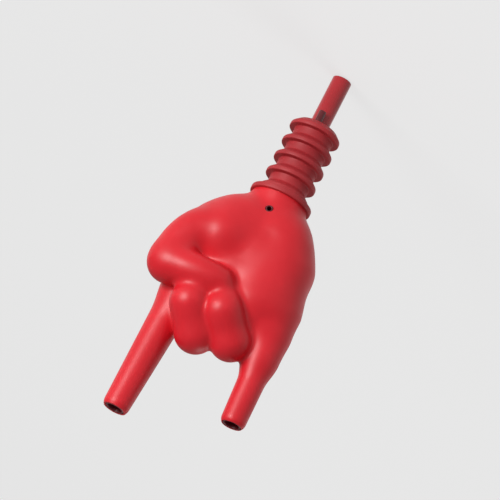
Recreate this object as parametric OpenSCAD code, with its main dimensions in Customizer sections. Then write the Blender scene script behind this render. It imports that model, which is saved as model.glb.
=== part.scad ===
// Bottle pourer shaped as a hand: the wrist plugs a bottle neck, two raised fingers are the spouts.
// Millimetres. The origin is on the bottle's axis at the lip, +Z runs to the fingertips,
// the palm faces -Y and the index finger is on the +X side.

/* [Stopper] */
// Diameter over the sealing fins
fin_d = 20.4; // [19:0.1:21.5]
// Diameter of the core between the fins
core_d = 15.8; // [15.4:0.1:17]
// Length of the plug below the lip
plug_len = 32; // [26:0.5:38]
// Number of sealing fins
fin_count = 5; // [4:1:6]
// Width of the cylindrical land on a fin
fin_land = 1.6; // [1:0.1:2.2]
// Height of the sloping underside of a fin
fin_slope = 2.2; // [1.4:0.1:2.6]
// Diameter of the flange that rests on the lip
flange_d = 24.8; // [23.6:0.1:27]
// Thickness of that flange
flange_t = 2; // [1.4:0.1:3]

/* [Liquor way] */
// Outside diameter of the inlet stem
stem_od = 7.6; // [7.2:0.1:7.8]
// Bore of the inlet stem
stem_id = 5.8; // [4.6:0.1:6]
// How far the stem reaches below the lip
stem_reach = 54; // [44:1:70]
// Diameter of the collar that the wrist traps
collar_d = 17.4; // [16:0.1:17.6]
// Thickness of that collar
collar_t = 2.4; // [1.6:0.1:2.8]
// Outside diameter of the two spout tubes
spout_od = 7.4; // [7:0.1:7.6]
// Bore of the two spout tubes
spout_id = 6; // [5:0.1:6.2]
// Diameter of the ball elbow in a spout tube
elbow_d = 9; // [8.6:0.1:9.4]
// Chamfer inside the mouth of a spout tube
mouth = 0.4; // [0.2:0.1:0.5]
// Height of the point where the liquor way forks
fork_z = 21; // [20:0.5:23]
// Wall of the fork round its sockets
fork_wall = 1.7; // [1.4:0.1:2]
// Distance from the fork to the mouth of a branch socket
branch_len = 19; // [17:0.5:21]
// Depth of each socket
socket_depth = 6; // [4.5:0.5:7]
// Thickness of the round seals
seal_t = 1.5; // [1.2:0.1:1.8]

/* [Breather] */
// Outside diameter of the breather tube
breather_od = 2.8; // [2.4:0.1:3]
// Bore of the breather tube
breather_id = 1.8; // [1.2:0.1:2]
// Distance of the breather from the axis
breather_y = 5.6; // [5.5:0.1:5.8]
// How far the breather reaches below the lip
breather_reach = 37; // [33:1:50]
// Height of the vent hole in the wrist
vent_z = 10.2; // [9.8:0.1:11]

/* [Hand] */
// Diameter of the wrist
wrist_d = 22; // [21.6:0.1:24]
// Thickness of the palm
palm_t = 20; // [19:0.5:23]
// Half width of the palm on the little finger's side
palm_edge = 25; // [24:0.5:28]
// Height of the knuckle line
knuckle_z = 48; // [46:0.5:52]
// Wall of the two casing halves
wall = 2; // [1.6:0.1:2.4]
// Distance of the index fingertip from the axis
index_x = 20.2; // [19:0.2:23]
// Height of the index fingertip
index_reach = 103; // [96:0.5:114]
// Diameter of the index finger at its root
index_root_d = 14.2; // [13:0.2:16]
// Diameter of the index finger at its tip
index_tip_d = 10.4; // [10:0.1:11.4]
// Distance of the little fingertip from the axis
little_x = 22.3; // [21:0.2:24]
// Height of the little fingertip
little_reach = 90.8; // [84:0.5:98]
// Diameter of the little finger at its root
little_root_d = 11.4; // [10.8:0.2:13]
// Diameter of the little finger at its tip
little_tip_d = 9.8; // [9.6:0.1:10.6]
// Outward lean of the two raised fingers, in degrees
finger_lean = 2.3; // [1:0.1:3.5]
// Diameter of the two curled fingers
curl_d = 14.4; // [14:0.2:16]
// Height of the middle finger's bent knuckle
middle_z = 65; // [62:0.5:68]
// Height of the ring finger's bent knuckle
ring_z = 62.5; // [60:0.5:64]
// Diameter of the thumb
thumb_d = 13.6; // [12:0.2:14.4]
// Distance of the thumb's knuckle from the axis
thumb_x = 24.8; // [24:0.2:28]
// Height of the thumb's knuckle
thumb_z = 45.5; // [44:0.5:48]

/* [Fits] */
// Clearance between the stem or breather and the stopper, per side
slip = 0.05; // [0.03:0.01:0.1]
// Clearance round what the casing holds, per side
ease = 0.2; // [0.16:0.01:0.3]
// Diameter of the pins that line up the casing halves
pin_d = 2.6; // [2:0.1:3]
// Length of those pins
pin_len = 4; // [3:0.5:5]

/* [Hidden] */
$fn = 64;
room_fn = 28;
over = 1;
red = [0.80, 0.09, 0.13];
dark_red = [0.55, 0.05, 0.08];
rubber_red = [0.66, 0.10, 0.12];
seal_grey = [0.18, 0.17, 0.17];

// Stopper
stem_r = stem_od / 2;
spout_r = spout_od / 2;
breather_r = breather_od / 2;
palm_r = palm_t / 2;
fin_pitch = (plug_len - fin_land - fin_slope) / (fin_count - 1);
flange_edge = 0.5;

// Wrist: floor, collar pocket and cover round the stem
wrist_z = flange_t;
floor_t = 1.6;
collar_z = wrist_z + floor_t;
cover_z = collar_z + collar_t + ease;
cover_t = 1.4;
vent_bend = vent_z - cover_z - cover_t;

// Fork: the hub stands on the stem's shoulder, a seal sits in the mouth of each socket
shoulder_t = 1.4;
hub_z = vent_z + breather_r + shoulder_t;
gland_depth = seal_t + 2 * slip;
hub_r = stem_r + gland_depth + fork_wall;
branch_r = spout_r + gland_depth + fork_wall;
shoulder_r = stem_r + gland_depth;
elbow_r = elbow_d / 2;
elbow_room = 2.5;
spout_wall = (spout_od - spout_id) / 2;
spout_collar_t = 1.8;
spout_collar_r = spout_r + gland_depth + 1;

// Casing: depth of its core in front, bosses for the pins at [x, z], pitch of the skins
core_depth = palm_r - wall;
boss_wall = 1.6;
bosses = [[14.8, 24], [-14.8, 25], [-1, knuckle_z + 2]];
skin_pitch = 2.6;
cavity_pitch = 3.6;

// A raised finger: fingertip's distance, its height, diameters at root and tip
index = [index_x, index_reach, index_root_d, index_tip_d];
little = [little_x, little_reach, little_root_d, little_tip_d];
tip_round = 2.4;

// The spout's elbow is where the branch's line meets the finger's line
knee_z = knuckle_z + 2;
function axis_x(finger, z) = finger[0] - (finger[1] - z) * tan(finger_lean);
function on_axis(finger, z) = [axis_x(finger, z), 0, z];
function branch_angle(finger) = atan2(axis_x(finger, knee_z), knee_z - fork_z);
function knee_run(finger) = norm([axis_x(finger, knee_z), knee_z - fork_z]);
function tip_run(finger) = (finger[1] - knee_z) / cos(finger_lean);

// Limbs of the hand: from, to, radius at from, radius at to
curl_r = curl_d / 2;
thumb_r = thumb_d / 2;
function mirrored(p) = [-p[0], p[1], p[2]];
function raised(finger, root_z) = [on_axis(finger, root_z), on_axis(finger, finger[1] - tip_round),
    finger[2] / 2, finger[3] / 2];
index_limb = raised(index, knuckle_z);
little_side = raised(little, knuckle_z + 6);
little_limb = [mirrored(little_side[0]), mirrored(little_side[1]), little_side[2], little_side[3]];
heel_edge = [-palm_edge + palm_r + 1.7, 0, 27];
side_edge = [-palm_edge + palm_r - 2.4, 0, knuckle_z - 2];
little_root = [-axis_x(little, knuckle_z + 14) + 0.8, 0.5, knuckle_z + 14];
middle_web = middle_z - 10;
ring_web = ring_z - 9.5;
palm_limbs = [
    [[0, 0, -4], [0, 0, 12], wrist_d / 2, wrist_d / 2],
    [[-1, 0, 20], [-2, 1, knuckle_z - 2], palm_r + 0.5, palm_r],
    [[4, 0, 20], [axis_x(index, knuckle_z) - 2, 1, knuckle_z], palm_r - 0.5, palm_r - 1.4],
    [[heel_edge[0] + 5, -1, 16.5], heel_edge, palm_r - 0.3, palm_r + 0.1],
    [heel_edge, side_edge, palm_r + 0.1, palm_r - 1.6],
    [side_edge, little_root, palm_r - 1.6, little_root_d / 2 + 0.1],
    [[-6, -3, 20], [-11, -4.5, knuckle_z - 3], palm_r - 0.5, palm_r - 2],
    [[8, -3, 15], [12.5, -7, 25], palm_r - 1, palm_r - 0.6],
    [[6, -5, 26], [7, -7.5, 37], palm_r - 1, palm_r - 1.6],
    [[11, -2, 14], [thumb_x - 6.3, -6.5, 28], palm_r - 0.2, palm_r + 0.2],
    [[5, -2, middle_web - 1], [-8, -2, ring_web - 2], curl_r - 0.6, curl_r - 0.6],
    [[5, 0, middle_web], [axis_x(index, middle_web) - 4.5, 0, middle_web], curl_r - 1.4, curl_r - 3.4],
    [[-8, 0, ring_web], [-axis_x(little, ring_web) + 4.5, 0, ring_web], curl_r - 1.4, curl_r - 3.4]
];
middle_knee = [4.2, -6, middle_z];
ring_knee = [-9.8, -6, ring_z];
middle_end = middle_knee + [6.3, -6.5, -8];
ring_end = ring_knee + [7, -6.5, -7.5];
middle_limbs = [[[5, 2, middle_web - 1], middle_knee, curl_r, curl_r - 0.3],
    [middle_knee, middle_end, curl_r - 0.3, curl_r - 1.1],
    [middle_end, middle_end + [0.5, 3.5, -11], curl_r - 1.1, curl_r - 2.2]];
ring_limbs = [[[-8, 2, ring_web - 1], ring_knee, curl_r, curl_r - 0.3],
    [ring_knee, ring_end, curl_r - 0.3, curl_r - 0.9],
    [ring_end, ring_end + [3.8, 3, -10], curl_r - 0.9, curl_r - 2.2]];
thumb_knee = [thumb_x, -10.8, thumb_z];
thumb_bend = [thumb_x - 10.8, -15.5, thumb_z - 0.5];
thumb_limbs = [[[thumb_x - 4.2, -8, 29.5], thumb_knee, palm_r - 0.3, thumb_r + 0.7],
    [thumb_knee, thumb_bend, thumb_r + 0.4, thumb_r - 0.2],
    [thumb_bend, thumb_bend + [-10.4, -0.5, -1], thumb_r - 0.2, thumb_r - 0.8]];
palm_blend = 8;
finger_blend = 7;
curl_blend = 2;
bend_blend = 7;
thumb_blend = 4;
fold_blend = 3;

// Distance from a point to a limb, negative inside
function limb(p, l) =
    let (axis = l[1] - l[0], t = max(0, min(1, (p - l[0]) * axis / (axis * axis))))
    norm(p - l[0] - t * axis) - l[2] - t * (l[3] - l[2]);

// Union of two distances with a fillet of width k
function blend(a, b, k) = min(a, b) - pow(max(k - abs(a - b), 0), 2) / (4 * k);

function blend_all(p, limbs, k, i, d) =
    i == len(limbs) ? d : blend_all(p, limbs, k, i + 1, blend(d, limb(p, limbs[i]), k));

// Distance from a point to the skin of the whole hand
function hand(p) =
    let (palm = blend_all(p, palm_limbs, palm_blend, 1, limb(p, palm_limbs[0])),
        raised = blend_all(p, [index_limb, little_limb], finger_blend, 0, palm),
        middle = blend_all(p, middle_limbs, bend_blend, 1, limb(p, middle_limbs[0])),
        ring = blend_all(p, ring_limbs, bend_blend, 1, limb(p, ring_limbs[0])),
        fist = blend(raised, blend(middle, ring, curl_blend), curl_blend),
        thumb = blend_all(p, thumb_limbs, thumb_blend, 1, limb(p, thumb_limbs[0])))
    blend(fist, thumb, fold_blend);

// Distance to the hollow inside: one wall below the skin, above the wrist's cover,
// cored from the parting plane so that the thumb and the curled fingers stay solid in front
function cavity(p) = max(hand(p) + wall, cover_z + cover_t - p[2], -core_depth - p[1]);

// Skin of a field of distances, between two planes of Y, on a lattice of one pitch:
// each lattice cell that the skin crosses has one point, each lattice edge that it crosses one face.
// The lattice points of a cell that would pinch the skin take the distance named by mend
module skin(field, pitch, y_from, y_to, mend) {
    unit = [[1, 0, 0], [0, 1, 0], [0, 0, 1]];
    reach = max(index_reach, little_reach) + 4;
    wide = max(thumb_x + thumb_d, index_x + index_root_d, palm_edge + 6);
    low = [for (v = [-wide, y_from - pitch, -4]) floor(v / pitch) - 1];
    high = [for (v = [wide, y_to + pitch, reach]) ceil(v / pitch) + 1];
    n = high - low;
    corners = [for (i = [0, 1]) for (j = [0, 1]) for (k = [0, 1]) [i, j, k]];
    edges = [for (c = corners) for (u = unit) if (max(c + u) < 2) [c, c + u]];
    cells = [for (i = [0:n[0] - 1]) for (j = [0:n[1] - 1]) for (k = [0:n[2] - 1]) [i, j, k]];
    function on_rim(c) = min(c) == 0 || min(n - c) == 0;
    function spot(c) = (low + c) * pitch;
    function at(v, c) = v[c[0]][c[1]][c[2]];
    function inside(v, c) = [for (q = corners) if (at(v, c + q) < 0) 1];
    function links(v, c, side) = [for (e = edges)
        if (at(v, c + e[0]) < 0 == side && at(v, c + e[1]) < 0 == side) 1];

    // Cells in which the inside or the outside falls into two parts
    function split(v, c, count) = len(links(v, c, true)) < count - 1 || len(links(v, c, false)) < 7 - count;
    function pinched(v) = [for (c = cells) let (count = len(inside(v, c)))
        if (count > 0 && count < 8 && split(v, c, count)) c];
    function beside(c, list) = len([for (b = list) if (min(c - b) >= 0 && max(c - b) <= 1) 1]) > 0;
    function mended(v, list) = [for (i = [0:n[0]]) [for (j = [0:n[1]]) [for (k = [0:n[2]]) let (c = [i, j, k])
        at(v, c) < 0 != mend < 0 && !on_rim(c) && beside(c, list) ? mend : at(v, c)]]];
    function untangled(v, tries) = let (list = pinched(v))
        tries == 0 || len(list) == 0 ? v : untangled(mended(v, list), tries - 1);

    raw = [for (i = [0:n[0]]) [for (j = [0:n[1]]) [for (k = [0:n[2]])
        on_rim([i, j, k]) ? pitch : field(spot([i, j, k]))]]];
    values = untangled(raw, 5);
    crossings = [for (c = cells) let (count = len(inside(values, c)))
        count == 0 || count == 8 ? [] :
        [for (e = edges) let (a = at(values, c + e[0]), b = at(values, c + e[1]))
            if (a < 0 != b < 0) spot(c + e[0] + (e[1] - e[0]) * a / (a - b))]];
    points = [for (c = crossings) if (len(c) > 0) [for (q = c) 1] * c / len(c)];
    numbers = [for (i = 0, count = 0; i < len(cells);
        count = count + (len(crossings[i]) > 0 ? 1 : 0), i = i + 1) count];
    function number(c) = numbers[(c[0] * n[1] + c[1]) * n[2] + c[2]];
    function halves(q) = norm(points[q[0]] - points[q[2]]) < norm(points[q[1]] - points[q[3]]) ?
        [[q[0], q[1], q[2]], [q[0], q[2], q[3]]] : [[q[1], q[2], q[3]], [q[1], q[3], q[0]]];
    faces = [for (c = cells) for (a = [0:2]) let (in = at(values, c) < 0)
        if (in != at(values, c + unit[a]) < 0)
            let (u = unit[(a + 1) % 3], v = unit[(a + 2) % 3],
                quad = [number(c - u - v), number(c - u), number(c), number(c - v)])
            each halves(in ? quad : [quad[3], quad[2], quad[1], quad[0]])];
    polyhedron(points, faces);
}

// Frame along a branch of the fork, and the same for the other side
module branch(finger) {
    translate([0, 0, fork_z]) rotate([0, branch_angle(finger), 0]) children();
}

// Frame along a raised finger, from the elbow of its spout
module along(finger) {
    translate(on_axis(finger, knee_z)) rotate([0, finger_lean, 0]) children();
}

module both_sides() {
    $finger = index;
    children();
    mirror([1, 0, 0]) {
        $finger = little;
        children();
    }
}

// Rubber plug with a flange for the lip and a row of fins for the bore
module stopper() {
    flange_r = flange_d / 2;
    fins = [for (i = [0:fin_count - 1]) let (z = -i * fin_pitch)
        each [[core_d / 2, z], [fin_d / 2, z], [fin_d / 2, z - fin_land], [core_d / 2, z - fin_land - fin_slope]]];
    head = [[0, flange_t], [flange_r - flange_edge, flange_t], [flange_r, flange_t - flange_edge], [flange_r, 0]];
    outline = concat(head, [for (i = [1:len(fins) - 1]) fins[i]], [[0, -plug_len]]);
    color(rubber_red) difference() {
        rotate_extrude() polygon(outline);
        translate([0, 0, -plug_len - over]) cylinder(r = stem_r + slip, h = plug_len + flange_t + 2 * over);
        translate([0, -breather_y, -plug_len - over])
            cylinder(r = breather_r + slip, h = plug_len + flange_t + 2 * over);
    }
}

// Inlet tube with the collar that the wrist traps and the shoulder that the fork stands on
module stem() {
    color(dark_red) difference() {
        union() {
            translate([0, 0, -stem_reach]) cylinder(r = stem_r, h = stem_reach + hub_z + socket_depth);
            translate([0, 0, collar_z]) cylinder(d = collar_d, h = collar_t);
            translate([0, 0, hub_z - shoulder_t]) cylinder(r = shoulder_r, h = shoulder_t);
        }
        translate([0, 0, -stem_reach - over]) cylinder(d = stem_id, h = stem_reach + hub_z + socket_depth + 2 * over);
        translate([0, -breather_y, collar_z - over]) cylinder(r = breather_r + slip, h = collar_t + 2 * over);
    }
}

// Round seal that fills the mouth of a socket, round a tube of radius r
module seal(r) {
    color(seal_grey) translate([0, 0, gland_depth / 2]) rotate_extrude()
        translate([r + gland_depth / 2, 0]) circle(d = seal_t);
}

module stem_seal() {
    translate([0, 0, hub_z]) seal(stem_r);
}

module index_seal() {
    branch(index) translate([0, 0, branch_len - gland_depth]) seal(spout_r);
}

module little_seal() {
    mirror([1, 0, 0]) branch(little) translate([0, 0, branch_len - gland_depth]) seal(spout_r);
}

// Socket for a tube of radius r with a seat for its seal, opening at z = 0 towards +Z
module socket(r) {
    translate([0, 0, -socket_depth]) cylinder(r = r + slip, h = socket_depth + over);
    translate([0, 0, -gland_depth]) cylinder(r = r + gland_depth, h = gland_depth + over);
}

// Fork that leads the liquor from the stem to the two spouts
module fork() {
    color(dark_red) difference() {
        union() {
            translate([0, 0, hub_z]) cylinder(r = hub_r, h = fork_z - hub_z);
            both_sides() branch($finger) cylinder(r = branch_r, h = branch_len);
        }
        translate([0, 0, hub_z]) mirror([0, 0, 1]) socket(stem_r);
        translate([0, 0, hub_z]) cylinder(d = stem_id, h = fork_z - hub_z);
        both_sides() branch($finger) {
            cylinder(d = spout_id, h = branch_len);
            translate([0, 0, branch_len]) socket(spout_r);
        }
    }
}

// Spout tube: up the branch, round a ball elbow and along the finger to its tip
module spout(finger) {
    start = branch_len - socket_depth;
    color(dark_red) difference() {
        union() {
            branch(finger) translate([0, 0, start]) cylinder(r = spout_r, h = knee_run(finger) - start);
            branch(finger) translate([0, 0, branch_len]) cylinder(r = spout_collar_r, h = spout_collar_t);
            along(finger) sphere(r = elbow_r);
            along(finger) cylinder(r = spout_r, h = tip_run(finger));
        }
        branch(finger) cylinder(d = spout_id, h = knee_run(finger));
        along(finger) sphere(r = elbow_r - spout_wall);
        along(finger) cylinder(d = spout_id, h = tip_run(finger) + over);
        along(finger) translate([0, 0, tip_run(finger) - mouth])
            cylinder(d1 = spout_id, d2 = spout_id + 2 * (mouth + over), h = mouth + over);
    }
}

module index_spout() {
    spout(index);
}

module little_spout() {
    mirror([1, 0, 0]) spout(little);
}

// Breather: up through the stopper and the collar, then round to the vent hole in the wrist
module breather_tube() {
    color(dark_red) difference() {
        breather_path(breather_r, 0);
        breather_path(breather_id / 2, over);
    }
}

// Distance from the axis to the skin of the wrist at the vent, found by stepping along the ray
function wrist_front(y, steps) = steps == 0 ? y : wrist_front(y - hand([0, -y, vent_z]), steps - 1);

module breather_path(r, extra) {
    rise = cover_z + cover_t;
    front = wrist_front(wrist_d / 2, 5);
    translate([0, -breather_y, -breather_reach - extra]) cylinder(r = r, h = breather_reach + rise + extra);
    translate([0, -breather_y - vent_bend, rise]) rotate([90, 0, 90])
        rotate_extrude(angle = 90) translate([vent_bend, 0]) circle(r = r);
    translate([0, -breather_y - vent_bend, vent_z]) rotate([90, 0, 0])
        cylinder(r = r, h = front - breather_y - vent_bend + extra);
}

// Round channel along a line of points
module channel(points, r) {
    for (i = [1:len(points) - 1]) hull() {
        translate(points[i - 1]) sphere(r = r);
        translate(points[i]) sphere(r = r);
    }
}

// Room that the casing leaves for what it holds
module room() {
    height = fork_z - wrist_z;
    rise = cover_z + cover_t;
    translate([0, 0, wrist_z - over]) cylinder(r = stem_r + ease, h = height + over);
    translate([0, 0, collar_z]) cylinder(d = collar_d + 2 * ease, h = cover_z - collar_z);
    translate([0, 0, hub_z - shoulder_t - ease]) cylinder(r = hub_r + ease, h = fork_z - hub_z + shoulder_t + ease);
    channel([[0, -breather_y, -over], [0, -breather_y, rise],
        [0, -breather_y - vent_bend, vent_z], [0, -wrist_d, vent_z]], breather_r + ease);
    both_sides() {
        branch($finger) cylinder(r = branch_r + ease, h = branch_len + spout_collar_t + ease);
        along($finger) sphere(r = elbow_r + ease);
        channel([[0, 0, fork_z], on_axis($finger, knee_z)], spout_r + ease);
        along($finger) channel([[0, 0, -elbow_room], [0, 0, tip_run($finger) / 2], [0, 0, tip_run($finger) + over]],
            spout_r + ease);
    }
}

// Pins along Y at the bosses, from one depth behind the parting plane to another in front of it
module pins(r, back, front) {
    for (b = bosses) translate([b[0], back, b[1]]) rotate([90, 0, 0]) cylinder(r = r, h = back + front);
}

// Hollow hand between two planes of Y, before the pins
module casing(y_from, y_to) {
    difference() {
        skin(function (p) hand(p), skin_pitch, y_from, y_to, -skin_pitch / 4);
        difference() {
            skin(function (p) cavity(p), cavity_pitch, max(y_from, -core_depth), y_to, cavity_pitch / 4);
            pins(pin_d / 2 + boss_wall, palm_t, palm_t);
        }
        room($fn = room_fn);
        both_sides() along($finger) translate([0, 0, tip_run($finger)]) cylinder(d = 2 * $finger[3], h = $finger[3]);
    }
}

module half_space(y_from, y_to) {
    size = 4 * palm_edge;
    translate([-size / 2, y_from, wrist_z]) cube([size, y_to - y_from, 2 * index_reach]);
}

// Front half of the hand: palm, thumb, curled fingers and the vent hole
module palm_shell() {
    depth = thumb_d + 18;
    color(red) {
        intersection() {
            casing(-depth, 0);
            half_space(-depth, 0);
        }
        pins(pin_d / 2, pin_len, over);
    }
}

// Rear half of the hand: back of the hand and of the fingers
module back_shell() {
    depth = palm_t / 2 + 4;
    color(red) difference() {
        intersection() {
            casing(0, depth);
            half_space(0, depth);
        }
        pins(pin_d / 2 + ease / 2, pin_len + ease, over);
    }
}

stopper();
stem();
stem_seal();
fork();
index_seal();
little_seal();
index_spout();
little_spout();
breather_tube();
palm_shell();
back_shell();
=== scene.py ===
import math
from itertools import product

import bpy
import numpy as np
from mathutils import Matrix, Vector


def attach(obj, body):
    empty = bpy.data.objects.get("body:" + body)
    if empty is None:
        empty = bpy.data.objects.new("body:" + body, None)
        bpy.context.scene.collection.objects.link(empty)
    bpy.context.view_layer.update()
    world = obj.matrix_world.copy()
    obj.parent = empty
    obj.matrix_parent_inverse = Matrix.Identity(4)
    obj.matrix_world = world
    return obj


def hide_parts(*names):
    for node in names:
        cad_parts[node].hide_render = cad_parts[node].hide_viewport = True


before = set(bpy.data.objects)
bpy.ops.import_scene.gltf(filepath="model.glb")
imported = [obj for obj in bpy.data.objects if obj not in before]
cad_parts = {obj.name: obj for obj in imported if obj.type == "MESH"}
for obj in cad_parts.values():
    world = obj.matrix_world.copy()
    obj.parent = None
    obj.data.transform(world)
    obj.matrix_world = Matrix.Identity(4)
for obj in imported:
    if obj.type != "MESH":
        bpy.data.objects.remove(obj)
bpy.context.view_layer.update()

# Sizes of the hand, in millimetres
MM = 0.001
WRIST_D, PALM_R, PALM_EDGE, KNUCKLE_Z = 22.0, 10.0, 25.0, 48.0
INDEX = dict(x=20.2, reach=103.0, root=14.2, tip=10.4)
LITTLE = dict(x=22.3, reach=90.8, root=11.4, tip=9.8)
FINGER_LEAN = math.radians(2.3)
TIP_ROUND = 2.4
CURL_R, MIDDLE_Z, RING_Z = 7.2, 65.0, 62.5
THUMB_R, THUMB_X, THUMB_Z = 6.8, 24.8, 45.5

# Fillets of the hand, in millimetres: the larger, the softer
PALM_BLEND, MOUND_BLEND, FINGER_BLEND, CURL_BLEND = 8.0, 5.0, 7.0, 2.0
BEND_BLEND, THUMB_BLEND, ARCH_BLEND, FOLD_BLEND = 7.0, 4.0, 1.0, 3.0

# Sizes of the tubes and the stopper, in millimetres
STEM_R, STEM_BORE, STEM_REACH, STEM_TOP = 3.8, 2.9, 54.0, 19.0
COLLAR_R, COLLAR_Z, COLLAR_T = 8.7, 3.6, 2.4
SHOULDER_R, SHOULDER_Z, SHOULDER_T = 5.4, 11.6, 1.4
SPOUT_R, SPOUT_BORE, SPOUT_BEND, SPOUT_LIP = 3.7, 3.0, 6.0, 0.22
FORK_Z, BRANCH_START, SPOUT_KNEE_Z = 21.0, 13.0, KNUCKLE_Z + 2
BREATHER_R, BREATHER_BORE, BREATHER_BEND, BREATHER_LIP = 1.4, 0.9, 2.4, 0.15
BREATHER_Y, BREATHER_REACH, VENT_Z = 5.6, 37.0, 10.2
CORE_R, FIN_R, FLANGE_R, FLANGE_T = 7.9, 10.2, 12.4, 2.0
PLUG_LEN, FINS, FIN_LAND, FIN_SLOPE = 32.0, 5, 1.6, 2.2
STEM_ROUND, STOPPER_ROUND = 0.3, 0.45
STOPPER_SLIP, EASE, OVERCUT = 0.05, 0.2, 1.0

# Skin of the casing, in millimetres: grid, seam, cuts and the space in which each half is sampled
SKIN_PITCH = 0.55
SEAM_GAP, SEAM_DEPTH, SEAM_REACH = 0.06, 0.2, 0.05
OUTLET_DEPTH, VENT_BACK = 22.0, 6.0
PALM_SPACE = ((-34, -27, 0), (40, 2, 107))
BACK_SPACE = ((-34, -2, 0), (40, 15, 107))


# Limbs of the hand: start, end, radius at the start, radius at the end
def axis_x(finger, z):
    return finger["x"] - (finger["reach"] - z) * math.tan(FINGER_LEAN)


def raised(finger, side, root_z):
    top = finger["reach"] - TIP_ROUND
    root = (side * axis_x(finger, root_z), 0, root_z)
    return root, (side * axis_x(finger, top), 0, top), finger["root"] / 2, finger["tip"] / 2


def shifted(point, move):
    return tuple(a + b for a, b in zip(point, move))


def curve(start, corner, end, count):
    """Points on a curve that leaves start towards the corner and comes to end from it."""
    start, corner, end = (np.array(v, float) for v in (start, corner, end))
    way = np.linspace(0, 1, count)
    return [(1 - t) ** 2 * start + 2 * t * (1 - t) * corner + t ** 2 * end for t in way]


def arched(start, crown, end, r_start, r_end, steps=10):
    """Short limbs along a curve."""
    points = curve(start, crown, end, steps + 1)
    radii = r_start + (r_end - r_start) * np.linspace(0, 1, steps + 1)
    return list(zip(points[:-1], points[1:], radii[:-1], radii[1:]))


HEEL = (-PALM_EDGE + PALM_R + 1.7, 0, 27)
SIDE = (-PALM_EDGE + PALM_R - 2.4, 0, KNUCKLE_Z - 5)
LITTLE_ROOT = (-axis_x(LITTLE, KNUCKLE_Z + 14) + 1.2, 0.5, KNUCKLE_Z + 14)
MIDDLE_WEB_X, MIDDLE_WEB = 5, MIDDLE_Z - 10
RING_WEB_X, RING_WEB = -8, RING_Z - 9.5
WEB_INSET = 4.5
INDEX_WEB_X = axis_x(INDEX, MIDDLE_WEB) - WEB_INSET
LITTLE_WEB_X = -axis_x(LITTLE, RING_WEB) + WEB_INSET

WRIST = ((0, 0, -4), (0, 0, 12), WRIST_D / 2, WRIST_D / 2)
PALM_CORE = ((-1, 0, 20), (-2, 1, KNUCKLE_Z - 2), PALM_R + 0.5, PALM_R)
INDEX_SIDE = ((4, 0, 20), (axis_x(INDEX, KNUCKLE_Z) - 2, 1, KNUCKLE_Z), PALM_R - 0.5, PALM_R - 1.4)
HEEL_ROUND = ((HEEL[0] + 5, -1, 16.5), HEEL, PALM_R - 0.3, PALM_R + 0.1)
HEEL_SIDE = (HEEL, SIDE, PALM_R + 0.1, PALM_R - 1.6)
LITTLE_SIDE = (SIDE, LITTLE_ROOT, PALM_R - 1.6, LITTLE["root"] / 2 + 0.1)
HEEL_PAD = ((-9, -3.4, 19), (-11.5, -4.6, KNUCKLE_Z - 4), PALM_R - 0.8, PALM_R - 1.8)
PALM_FILL = ((-3, -6, 30), (-6, -6.5, KNUCKLE_Z - 4), PALM_R - 4, PALM_R - 4)
THUMB_HOLLOW = ((6, -5, 25), (6.5, -5.8, 34.5), PALM_R - 1, PALM_R - 2.5)
THUMB_SIDE = ((11, -2, 17), (THUMB_X - 7, -5, 27.5), PALM_R - 0.2, PALM_R)
THUMB_SHOULDER = ((15.4, -4, 20.8), (16.2, -4.6, 22), PALM_R - 2.2, PALM_R - 2.2)
KNUCKLE_WEB = ((MIDDLE_WEB_X, -2, MIDDLE_WEB - 1), (RING_WEB_X, -2, RING_WEB - 2),
               CURL_R - 0.6, CURL_R - 0.6)
INDEX_WEB = ((MIDDLE_WEB_X, 0, MIDDLE_WEB), (INDEX_WEB_X, 0, MIDDLE_WEB), CURL_R - 1.4, CURL_R - 3.4)
LITTLE_WEB = ((RING_WEB_X, 0, RING_WEB), (LITTLE_WEB_X, 0, RING_WEB), CURL_R - 1.4, CURL_R - 3.4)
PALM_LIMBS = [
    WRIST, PALM_CORE, INDEX_SIDE, HEEL_ROUND, HEEL_SIDE, LITTLE_SIDE, HEEL_PAD, PALM_FILL,
    THUMB_HOLLOW, THUMB_SIDE, THUMB_SHOULDER, KNUCKLE_WEB, INDEX_WEB, LITTLE_WEB,
]
FINGER_LIMBS = [raised(INDEX, 1, KNUCKLE_Z), raised(LITTLE, -1, KNUCKLE_Z + 6)]

MIDDLE_KNEE = (4.6, -6, MIDDLE_Z)
MIDDLE_END = shifted(MIDDLE_KNEE, (6, -6.5, -8))
MIDDLE_LIMBS = [
    ((5, 2, MIDDLE_WEB - 1), MIDDLE_KNEE, CURL_R - 0.3, CURL_R - 0.7),
    (MIDDLE_KNEE, MIDDLE_END, CURL_R - 0.7, CURL_R - 1.2),
    (MIDDLE_END, shifted(MIDDLE_END, (0.4, 3.5, -11)), CURL_R - 1.2, CURL_R - 2.2),
]
RING_KNEE = (-8.6, -6, RING_Z)
RING_END = shifted(RING_KNEE, (6.4, -6.5, -7.5))
RING_LIMBS = [
    ((-7.5, 2, RING_WEB - 1), RING_KNEE, CURL_R - 0.4, CURL_R - 0.8),
    (RING_KNEE, RING_END, CURL_R - 0.8, CURL_R - 1.2),
    (RING_END, shifted(RING_END, (3.2, 3, -10)), CURL_R - 1.2, CURL_R - 2.2),
]

THUMB_MOUND = ((8, -4, 18), (12, -9, 26), PALM_R - 0.6, PALM_R - 0.6)
THUMB_ROOT = (THUMB_X - 3.8, -9.8, 29)
THUMB_OUTER = (THUMB_X + 0.8, -11, 37)
THUMB_KNEE = (THUMB_X, -12, THUMB_Z)
THUMB_CROWN = (THUMB_X - 9.3, -17.2, THUMB_Z + 0.8)
THUMB_TIP = (THUMB_X - 20.8, -14.4, THUMB_Z)
THUMB_BASE = arched(THUMB_ROOT, THUMB_OUTER, THUMB_KNEE, PALM_R - 1.8, THUMB_R + 0.5)
THUMB_LIMBS = arched(THUMB_KNEE, THUMB_CROWN, THUMB_TIP, THUMB_R + 0.5, THUMB_R - 1.2)


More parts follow.
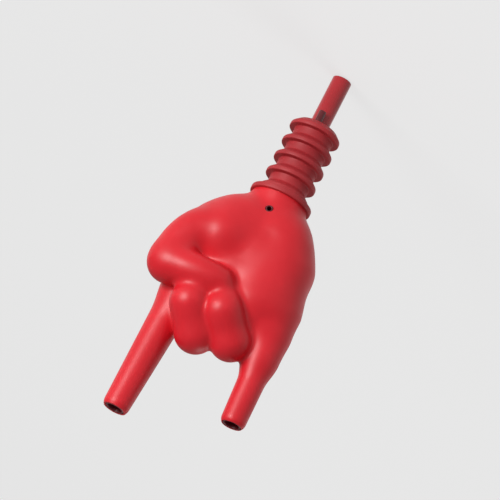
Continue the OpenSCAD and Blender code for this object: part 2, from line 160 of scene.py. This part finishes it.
# The hand as a field of distances in millimetres, negative inside
def limb(p, shape):
    start, end = np.array(shape[0], float), np.array(shape[1], float)
    r_start, r_end = shape[2:]
    axis = end - start
    t = np.clip((p - start) @ axis / (axis @ axis), 0, 1)
    return np.linalg.norm(p - start - t[..., None] * axis, axis=-1) - r_start - t * (r_end - r_start)


def blend(a, b, k):
    return np.minimum(a, b) - np.maximum(k - np.abs(a - b), 0) ** 2 / (4 * k)


def blend_all(p, limbs, k, d=None):
    for shape in limbs:
        d = limb(p, shape) if d is None else blend(d, limb(p, shape), k)
    return d


def hand(p):
    palm = blend_all(p, FINGER_LIMBS, FINGER_BLEND, blend_all(p, PALM_LIMBS, PALM_BLEND))
    palm = blend(palm, limb(p, THUMB_MOUND), MOUND_BLEND)
    middle = blend_all(p, MIDDLE_LIMBS, BEND_BLEND)
    ring = blend_all(p, RING_LIMBS, BEND_BLEND)
    fist = blend(palm, blend(middle, ring, CURL_BLEND), CURL_BLEND)
    base = blend_all(p, THUMB_BASE, ARCH_BLEND)
    thumb = blend(base, blend_all(p, THUMB_LIMBS, ARCH_BLEND), THUMB_BLEND)
    return blend(fist, thumb, FOLD_BLEND)


# Cuts in the casing: positive where material is taken away
def finger_frame(p, finger, side):
    """Distance from the finger's axis, and the way along it from the tip."""
    way = np.array([side * math.sin(FINGER_LEAN), 0, math.cos(FINGER_LEAN)])
    q = p - np.array([side * finger["x"], 0, finger["reach"]])
    along = q @ way
    return np.linalg.norm(q - along[..., None] * way, axis=-1), along


def tip_cut(finger, side):
    def field(p):
        return np.minimum(finger_frame(p, finger, side)[1], side * p[..., 0])
    return field


def outlet_cut(finger, side):
    def field(p):
        away, along = finger_frame(p, finger, side)
        return np.minimum(SPOUT_R + EASE - away, along + OUTLET_DEPTH)
    return field


def vent_cut(p):
    away = np.hypot(p[..., 0], p[..., 2] - VENT_Z)
    return np.minimum(BREATHER_R + EASE - away, -p[..., 1] - VENT_BACK)


def wrist_cut(p):
    return FLANGE_T - p[..., 2]


# Skin of a field: a net of cells, whose points then settle on the surface
SETTLE_ROUNDS, SETTLE_DAMPING = 4, 1e-4
NEAR_SHARE, STEP_SHARE, TINY = 0.75, 0.7, 1e-9


def gradient(field, p, step=0.02):
    moves = np.eye(3) * step
    return np.stack([(field(p + m) - field(p - m)) / (2 * step) for m in moves], -1)


def sample(fields, low, high, pitch):
    """Grid lines along each axis, and the largest of the fields at each grid point."""
    first = np.floor(np.array(low) / pitch).astype(int)
    last = np.ceil(np.array(high) / pitch).astype(int)
    axes = [np.arange(a, b + 1) * pitch for a, b in zip(first, last)]
    value = np.empty([len(a) for a in axes])
    for i, x in enumerate(axes[0]):
        plane = np.stack(np.meshgrid([x], axes[1], axes[2], indexing="ij"), -1)[0]
        value[i] = np.max([f(plane) for f in fields], axis=0)
    return axes, value


def cell_points(axes, value, pitch):
    """One point in each cell that the skin passes through, and the points' numbers by cell."""
    n = np.array(value.shape) - 1
    total = np.zeros((*n, 3))
    count = np.zeros(n)
    base = np.stack(np.meshgrid(*[a[:-1] for a in axes], indexing="ij"), -1)

    def corner_values(c):
        return value[c[0]:n[0] + c[0], c[1]:n[1] + c[1], c[2]:n[2] + c[2]]

    for corner in product((0, 1), repeat=3):
        for a in range(3):
            if corner[a]:
                continue
            here = corner_values(corner)
            there = corner_values([corner[i] + (i == a) for i in range(3)])
            hit = (here < 0) != (there < 0)
            t = np.where(hit, here / np.where(hit, here - there, 1), 0)
            spot = base + pitch * np.array(corner, float)
            spot[..., a] += pitch * t
            total[hit] += spot[hit]
            count += hit
    used = count > 0
    number = np.full(n, -1)
    number[used] = np.arange(used.sum())
    return total[used] / count[used][:, None], number


def cell_faces(inside, number):
    """Faces between the points of neighbouring cells, turned outwards."""
    n = inside.shape
    steps = np.eye(3, dtype=int)
    faces = []
    for a in range(3):
        step_u, step_v = steps[(a + 1) % 3], steps[(a + 2) % 3]
        first = [slice(1, n[i] - 1) for i in range(3)]
        first[a] = slice(0, n[a] - 1)
        second = list(first)
        second[a] = slice(1, n[a])
        start, end = inside[tuple(first)], inside[tuple(second)]
        cells = np.argwhere(start != end) + 1 - steps[a]
        outward = start[start != end]
        ring = [cells - step_u - step_v, cells - step_v, cells, cells - step_u]
        quad = np.stack([number[tuple(r.T)] for r in ring], 1)
        quad[~outward] = quad[~outward][:, ::-1]
        faces += quad.tolist()
    return faces


def settle(fields, points, pitch):
    """Moves points onto the fields that they lie near, so that edges between fields come out sharp."""
    for _ in range(SETTLE_ROUNDS):
        values = np.stack([f(points) for f in fields], -1)
        slopes = np.stack([gradient(f, points) for f in fields], 1)
        near = np.abs(values) < pitch * NEAR_SHARE
        near |= values == values.max(axis=1, keepdims=True)
        a = slopes * near[..., None]
        b = np.where(near, values, 0)
        lhs = np.einsum("nij,nik->njk", a, a) + np.eye(3) * SETTLE_DAMPING
        move = np.linalg.solve(lhs, np.einsum("nij,ni->nj", a, b)[..., None])[..., 0]
        length = np.linalg.norm(move, axis=1, keepdims=True)
        points = points - move * np.minimum(1, pitch * STEP_SHARE / np.maximum(length, TINY))
    return points


def solid_surface(fields, space, pitch):
    """Closed skin of the part of a space where all the fields are negative."""
    axes, value = sample(fields, *space, pitch)
    points, number = cell_points(axes, value, pitch)
    return settle(fields, points, pitch), cell_faces(value < 0, number)


# Turned and bent shapes
CORNER_SHARE, LIP_STEPS = 0.45, 7
LEAD_STEPS, BEND_STEPS, TAIL_STEPS = 8, 14, 25
STEM_SIDES, STOPPER_SIDES, SPOUT_SIDES, BREATHER_SIDES, DRILL_SIDES = 96, 128, 64, 40, 48


def circle(sides):
    return np.linspace(0, 2 * math.pi, sides, endpoint=False)


def rounded(profile, radius, steps=4):
    """A closed outline with each corner turned on a small arc."""
    out = []
    count = len(profile)
    for i, corner in enumerate(profile):
        c = np.array(corner, float)
        before = np.array(profile[i - 1], float) - c
        after = np.array(profile[(i + 1) % count], float) - c
        reach = min(radius, np.linalg.norm(before) * CORNER_SHARE, np.linalg.norm(after) * CORNER_SHARE)
        a = c + before / np.linalg.norm(before) * reach
        b = c + after / np.linalg.norm(after) * reach
        out += [tuple(p) for p in curve(a, c, b, steps + 1)]
    return out


def ring_faces(rings, sides):
    faces = []
    for i in range(rings):
        j = (i + 1) % rings
        for k in range(sides):
            m = (k + 1) % sides
            faces.append((i * sides + k, i * sides + m, j * sides + m, j * sides + k))
    return faces


def lathe(profile, sides):
    """Solid of a closed outline of (radius, height), turned round Z."""
    points = [(r * math.cos(t), r * math.sin(t), z) for r, z in profile for t in circle(sides)]
    return points, ring_faces(len(profile), sides)


def tube(path, normal, outer, inner, lip, sides):
    """Pipe along a flat path, with rounded lips at both ends."""
    path = np.array(path, float)
    tangent = np.gradient(path, axis=0)
    tangent /= np.linalg.norm(tangent, axis=1)[:, None]
    normal = np.array(normal, float)
    turn = circle(sides)[:, None]

    def ring(i, r, push=0.0):
        side = np.cross(tangent[i], normal)
        return path[i] + tangent[i] * push + r * (np.cos(turn) * normal + np.sin(turn) * side)

    last = len(path) - 1
    rings = [ring(i, outer) for i in range(1, last)]
    middle, half = (outer + inner) / 2, (outer - inner) / 2
    arc = np.linspace(0, math.pi, LIP_STEPS)
    rings += [ring(last, middle + half * math.cos(s), lip * (math.sin(s) - 1)) for s in arc]
    rings += [ring(i, inner) for i in range(last - 1, 0, -1)]
    rings += [ring(0, middle - half * math.cos(s), -lip * (math.sin(s) - 1)) for s in arc]
    return np.concatenate(rings), ring_faces(len(rings), sides)


def bend(start, corner, end, radius):
    """Path from start to end with a round bend at the corner."""
    start, corner, end = (np.array(v, float) for v in (start, corner, end))
    a = corner + (start - corner) / np.linalg.norm(start - corner) * radius
    b = corner + (end - corner) / np.linalg.norm(end - corner) * radius
    lead = [start + (a - start) * s for s in np.linspace(0, 1, LEAD_STEPS, endpoint=False)]
    tail = [b + (end - b) * s for s in np.linspace(0, 1, TAIL_STEPS)[1:]]
    return lead + curve(a, corner, b, BEND_STEPS) + tail


# Objects
SHARP_ANGLE = math.radians(38)


def new_object(name, points, faces, material, body, replaced):
    mesh = bpy.data.meshes.new(name)
    mesh.from_pydata((np.asarray(points) * MM).tolist(), [], faces)
    mesh.validate()
    mesh.materials.append(material)
    mesh.polygons.foreach_set("use_smooth", [True] * len(mesh.polygons))
    mesh.set_sharp_from_angle(angle=SHARP_ANGLE)
    obj = bpy.data.objects.new(name, mesh)
    bpy.context.scene.collection.objects.link(obj)
    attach(obj, body)
    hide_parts(*replaced)
    return obj


def cut_hole(obj, radius, place, low, high):
    """Takes a round hole along Z out of a closed mesh."""
    sides = DRILL_SIDES
    points = [(place[0] + radius * math.cos(t), place[1] + radius * math.sin(t), z)
              for z in (low, high) for t in circle(sides)]
    faces = [(k, (k + 1) % sides, sides + (k + 1) % sides, sides + k) for k in range(sides)]
    faces += [tuple(range(sides - 1, -1, -1)), tuple(range(sides, 2 * sides))]
    mesh = bpy.data.meshes.new("drill")
    mesh.from_pydata((np.array(points) * MM).tolist(), [], faces)
    drill = bpy.data.objects.new("drill", mesh)
    bpy.context.scene.collection.objects.link(drill)
    cut = obj.modifiers.new("hole", "BOOLEAN")
    cut.operation = "DIFFERENCE"
    cut.solver = "EXACT"
    cut.object = drill
    bpy.context.view_layer.update()
    result = bpy.data.meshes.new_from_object(obj.evaluated_get(bpy.context.evaluated_depsgraph_get()))
    obj.modifiers.clear()
    obj.data = result
    bpy.data.objects.remove(drill)


# Materials: noises of (scale per metre, detail, roughness), the range that noise covers, depths in metres
DRIFT_NOISE, SHEEN_NOISE = (55, 3, 0.5), (130, 5, 0.6)
FLOW_NOISE, GRAIN_NOISE = (220, 2, 0.5), (2600, 2, 0.5)
NOISE_LOW, NOISE_HIGH = 0.3, 0.7
DRIFT_LOW, DRIFT_HIGH = 0.32, 0.68
FLOW_STRENGTH, FLOW_DEPTH, GRAIN_DEPTH = 0.12, 0.0003, 0.0001
PLASTIC_IOR = 1.46
SOFT_SCALE, SOFT_RADIUS = 0.0015, (1.0, 0.25, 0.2)


def material(name):
    made = bpy.data.materials.new(name)
    made.use_nodes = True
    nodes, links = made.node_tree.nodes, made.node_tree.links
    return made, nodes, links, nodes["Principled BSDF"], nodes.new("ShaderNodeTexCoord")


def noise(nodes, links, coord, scale, detail, rough):
    tex = nodes.new("ShaderNodeTexNoise")
    tex.inputs["Scale"].default_value = scale
    tex.inputs["Detail"].default_value = detail
    tex.inputs["Roughness"].default_value = rough
    links.new(coord.outputs["Object"], tex.inputs["Vector"])
    return tex


def ramp(nodes, links, source, stops):
    node = nodes.new("ShaderNodeValToRGB")
    for element, (place, colour) in zip(node.color_ramp.elements, stops):
        element.position = place
        element.color = (*colour, 1)
    links.new(source, node.inputs["Fac"])
    return node


def spread(nodes, links, source, low, high):
    node = nodes.new("ShaderNodeMapRange")
    node.inputs["From Min"].default_value = NOISE_LOW
    node.inputs["From Max"].default_value = NOISE_HIGH
    node.inputs["To Min"].default_value = low
    node.inputs["To Max"].default_value = high
    links.new(source, node.inputs["Value"])
    return node


def bump(nodes, links, shader, sources):
    """Stacks bumps of (height source, strength, depth in metres) into the shader's normal."""
    before = None
    for source, strength, depth in sources:
        node = nodes.new("ShaderNodeBump")
        node.inputs["Strength"].default_value = strength
        node.inputs["Distance"].default_value = depth
        links.new(source, node.inputs["Height"])
        if before is not None:
            links.new(before.outputs["Normal"], node.inputs["Normal"])
        before = node
    links.new(before.outputs["Normal"], shader.inputs["Normal"])


def moulded(name, deep, light, rough, grain, soft=0.0):
    """Moulded plastic or rubber: faint colour drift, uneven sheen, fine grain."""
    made, nodes, links, shader, coord = material(name)
    drift = noise(nodes, links, coord, *DRIFT_NOISE)
    colour = ramp(nodes, links, drift.outputs["Fac"], [(DRIFT_LOW, deep), (DRIFT_HIGH, light)])
    links.new(colour.outputs["Color"], shader.inputs["Base Color"])
    handled = noise(nodes, links, coord, *SHEEN_NOISE)
    sheen = spread(nodes, links, handled.outputs["Fac"], *rough)
    links.new(sheen.outputs["Result"], shader.inputs["Roughness"])
    fine = noise(nodes, links, coord, *GRAIN_NOISE)
    flow = noise(nodes, links, coord, *FLOW_NOISE)
    bump(nodes, links, shader, [
        (flow.outputs["Fac"], FLOW_STRENGTH, FLOW_DEPTH),
        (fine.outputs["Fac"], grain, GRAIN_DEPTH),
    ])
    shader.inputs["IOR"].default_value = PLASTIC_IOR
    if soft:
        shader.inputs["Subsurface Weight"].default_value = soft
        shader.inputs["Subsurface Scale"].default_value = SOFT_SCALE
        shader.inputs["Subsurface Radius"].default_value = SOFT_RADIUS
    return made


HAND_RED = moulded("hand_satin_red", (0.64, 0.009, 0.018), (0.71, 0.013, 0.024), (0.36, 0.45), 0.10,
                   soft=0.05)
TUBE_RED = moulded("tube_gloss_red", (0.40, 0.014, 0.020), (0.47, 0.018, 0.026), (0.16, 0.26), 0.04)
# Painted shade: the spouts and the breather pipe are near-black maroon, darker than the tube plastic, so
# that the fingertip openings and the vent look like holes in shadow
SPOUT_PAINTED_SHADE = moulded("spout_painted_shade", (0.10, 0.004, 0.008), (0.14, 0.006, 0.011), (0.30, 0.42), 0.06)
RUBBER_RED = moulded("stopper_rubber_red", (0.36, 0.016, 0.022), (0.44, 0.024, 0.030), (0.48, 0.62), 0.22)
SEAL_GREY = moulded("seal_rubber_grey", (0.020, 0.019, 0.019), (0.032, 0.030, 0.030), (0.45, 0.6), 0.2)


# Hand casing, in two halves that meet at the plane y = 0
def casing_half(name, side, space, node):
    def parting(p):
        return SEAM_GAP - side * p[..., 1]

    fields = [hand, parting, wrist_cut, tip_cut(INDEX, 1), tip_cut(LITTLE, -1),
              outlet_cut(INDEX, 1), outlet_cut(LITTLE, -1)]
    if side < 0:
        fields.append(vent_cut)
    points, faces = solid_surface(fields, space, SKIN_PITCH)
    edge = (np.abs(hand(points)) < SEAM_REACH) & (np.abs(parting(points)) < SEAM_REACH)
    points[edge] -= SEAM_DEPTH * gradient(hand, points[edge])
    new_object(name, points, faces, HAND_RED, "hand", [node])


casing_half("hand_palm_half", -1, PALM_SPACE, "palm_shell")
casing_half("hand_back_half", 1, BACK_SPACE, "back_shell")


# Spouts, from the fork's branches round the knuckle to the fingertips
def spout(name, finger, side):
    knee = np.array([axis_x(finger, SPOUT_KNEE_Z), 0, SPOUT_KNEE_Z])
    fork = np.array([0, 0, FORK_Z])
    start = fork + (knee - fork) / np.linalg.norm(knee - fork) * BRANCH_START
    way = bend(start, knee, (finger["x"], 0, finger["reach"]), SPOUT_BEND)
    path = [(side * p[0], p[1], p[2]) for p in way]
    points, faces = tube(path, (0, 1, 0), SPOUT_R, SPOUT_BORE, SPOUT_LIP, SPOUT_SIDES)
    # the spout tube is near black: painted shade inside the fingertip opening
    new_object(name + "_tube", points, faces, SPOUT_PAINTED_SHADE, "hand", [name])


spout("index_spout", INDEX, 1)
spout("little_spout", LITTLE, -1)

# Stem with its collar and shoulder
stem_profile = [(STEM_BORE, -STEM_REACH), (STEM_R, -STEM_REACH)]
for radius, low, height in ((COLLAR_R, COLLAR_Z, COLLAR_T), (SHOULDER_R, SHOULDER_Z, SHOULDER_T)):
    high = low + height
    stem_profile += [(STEM_R, low), (radius, low), (radius, high), (STEM_R, high)]
stem_profile += [(STEM_R, STEM_TOP), (STEM_BORE, STEM_TOP)]
points, faces = lathe(rounded(stem_profile, STEM_ROUND), STEM_SIDES)
new_object("inlet_stem", points, faces, TUBE_RED, "hand", ["stem"])

# Breather, up through the stopper and out at the vent, whose place on the skin is found in a few steps
VENT_STEPS = 5
vent_front = WRIST_D / 2
for _ in range(VENT_STEPS):
    vent_front -= float(hand(np.array([[0, -vent_front, VENT_Z]]))[0])
low_end, corner = (0, -BREATHER_Y, -BREATHER_REACH), (0, -BREATHER_Y, VENT_Z)
path = bend(low_end, corner, (0, -vent_front, VENT_Z), BREATHER_BEND)
points, faces = tube(path, (1, 0, 0), BREATHER_R, BREATHER_BORE, BREATHER_LIP, BREATHER_SIDES)
# the breather pipe is near black: painted shade inside the vent
new_object("breather_pipe", points, faces, SPOUT_PAINTED_SHADE, "hand", ["breather_tube"])

# Stopper: a flange, then fins that are flat above and slope below
FIN_PITCH = (PLUG_LEN - FIN_LAND - FIN_SLOPE) / (FINS - 1)
bore_r = STEM_R + STOPPER_SLIP
profile = [(bore_r, FLANGE_T), (FLANGE_R, FLANGE_T), (FLANGE_R, 0)]
profile += [(FIN_R, 0), (FIN_R, -FIN_LAND), (CORE_R, -FIN_LAND - FIN_SLOPE)]
for i in range(1, FINS):
    top = -i * FIN_PITCH
    profile += [(CORE_R, top), (FIN_R, top), (FIN_R, top - FIN_LAND), (CORE_R, top - FIN_LAND - FIN_SLOPE)]
profile.append((bore_r, -PLUG_LEN))
points, faces = lathe(rounded(profile, STOPPER_ROUND), STOPPER_SIDES)
plug = new_object("rubber_stopper", points, faces, RUBBER_RED, "stopper", ["stopper"])
cut_hole(plug, BREATHER_R + STOPPER_SLIP, (0, -BREATHER_Y), -PLUG_LEN - OVERCUT, FLANGE_T + OVERCUT)

# Pieces that the casing hides keep their solids
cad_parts["fork"].material_slots[0].material = TUBE_RED
for node in ("stem_seal", "index_seal", "little_seal"):
    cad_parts[node].material_slots[0].material = SEAL_GREY

# Floor, in metres, just below the stem: pale, and partly glowing where it is seen, so that it stays even
FLOOR_GAP, HALF_FLOOR = 0.0005, 6.0
FLOOR_Z = -STEM_REACH * MM - FLOOR_GAP
FLOOR_DARK, FLOOR_LIGHT = (0.80, 0.80, 0.80), (0.84, 0.84, 0.84)
FLOOR_ROUGH, FLOOR_NOISE = 0.9, (3, 2, 0.5)
GLOW, GLOW_SHARE = 0.98, 0.68
corners = ((-1, -1), (1, -1), (1, 1), (-1, 1))
floor_mesh = bpy.data.meshes.new("floor")
floor_mesh.from_pydata([(x * HALF_FLOOR, y * HALF_FLOOR, FLOOR_Z) for x, y in corners], [], [(0, 1, 2, 3)])
floor = bpy.data.objects.new("floor", floor_mesh)
bpy.context.scene.collection.objects.link(floor)
pale, nodes, links, shader, coord = material("floor_pale")
tone = noise(nodes, links, coord, *FLOOR_NOISE)
paper = ramp(nodes, links, tone.outputs["Fac"], [(NOISE_LOW, FLOOR_DARK), (NOISE_HIGH, FLOOR_LIGHT)])
links.new(paper.outputs["Color"], shader.inputs["Base Color"])
shader.inputs["Roughness"].default_value = FLOOR_ROUGH
rays = nodes.new("ShaderNodeLightPath")
seen = None
for kind in ("Is Camera Ray", "Is Glossy Ray", "Is Transmission Ray"):
    share = nodes.new("ShaderNodeMath")
    share.operation = "MULTIPLY_ADD"
    share.inputs[1].default_value = GLOW_SHARE
    share.inputs[2].default_value = 0.0
    links.new(rays.outputs[kind], share.inputs[0])
    if seen:
        links.new(seen.outputs[0], share.inputs[2])
    seen = share
glow = nodes.new("ShaderNodeEmission")
glow.inputs["Strength"].default_value = GLOW
both = nodes.new("ShaderNodeMixShader")
links.new(seen.outputs[0], both.inputs[0])
links.new(shader.outputs[0], both.inputs[1])
links.new(glow.outputs[0], both.inputs[2])
links.new(both.outputs[0], nodes["Material Output"].inputs["Surface"])
floor_mesh.materials.append(pale)
floor.visible_shadow = False

# Camera at the photograph's angle, in metres: the fingers point down and to the left
AZIMUTH, ELEVATION = math.radians(-12), math.radians(20)
DISTANCE, LENS = 2.035, 390.0
CLIP_START, CLIP_END = 0.05, 50
FINGERS_IN_IMAGE = Vector((-0.457, -0.889))
TARGET = Vector((0.001, -0.004, 0.0255))
level = math.cos(ELEVATION)
back = Vector((math.sin(AZIMUTH) * level, -math.cos(AZIMUTH) * level, math.sin(ELEVATION)))
level_right = Vector((math.cos(AZIMUTH), math.sin(AZIMUTH), 0))
level_up = back.cross(level_right)
right = level_up * FINGERS_IN_IMAGE.x + level_right * FINGERS_IN_IMAGE.y
up = back.cross(right)
camera = bpy.data.objects.new("camera", bpy.data.cameras.new("camera"))
bpy.context.scene.collection.objects.link(camera)
camera.data.lens = LENS
camera.data.clip_start, camera.data.clip_end = CLIP_START, CLIP_END
camera.matrix_world = Matrix((
    (right.x, up.x, back.x, TARGET.x + back.x * DISTANCE),
    (right.y, up.y, back.y, TARGET.y + back.y * DISTANCE),
    (right.z, up.z, back.z, TARGET.z + back.z * DISTANCE),
    (0, 0, 0, 1)))
bpy.context.scene.camera = camera

# Light, in metres and watts: a broad key from the picture's upper left, a weaker rim behind, an even sky
KEY_PLACE, KEY_SIZE, KEY_POWER = (0.62, -0.95, 0.10), 0.6, 11.0
RIM_PLACE, RIM_SIZE, RIM_POWER = (-0.7, 0.8, 0.75), 0.8, 3.0
SKY_STRENGTH = 0.30


def area_light(name, place, size, power):
    light = bpy.data.lights.new(name, "AREA")
    light.shape = "DISK"
    light.size = size
    light.energy = power
    obj = bpy.data.objects.new(name, light)
    bpy.context.scene.collection.objects.link(obj)
    obj.location = place
    obj.rotation_euler = (TARGET - Vector(place)).to_track_quat("-Z", "Y").to_euler()


area_light("key", KEY_PLACE, KEY_SIZE, KEY_POWER)
area_light("rim", RIM_PLACE, RIM_SIZE, RIM_POWER)
world = bpy.data.worlds.new("sky")
bpy.context.scene.world = world
world.use_nodes = True
sky = world.node_tree.nodes["Background"]
sky.inputs["Color"].default_value = (1, 1, 1, 1)
sky.inputs["Strength"].default_value = SKY_STRENGTH
bpy.context.scene.view_settings.view_transform = "Standard"
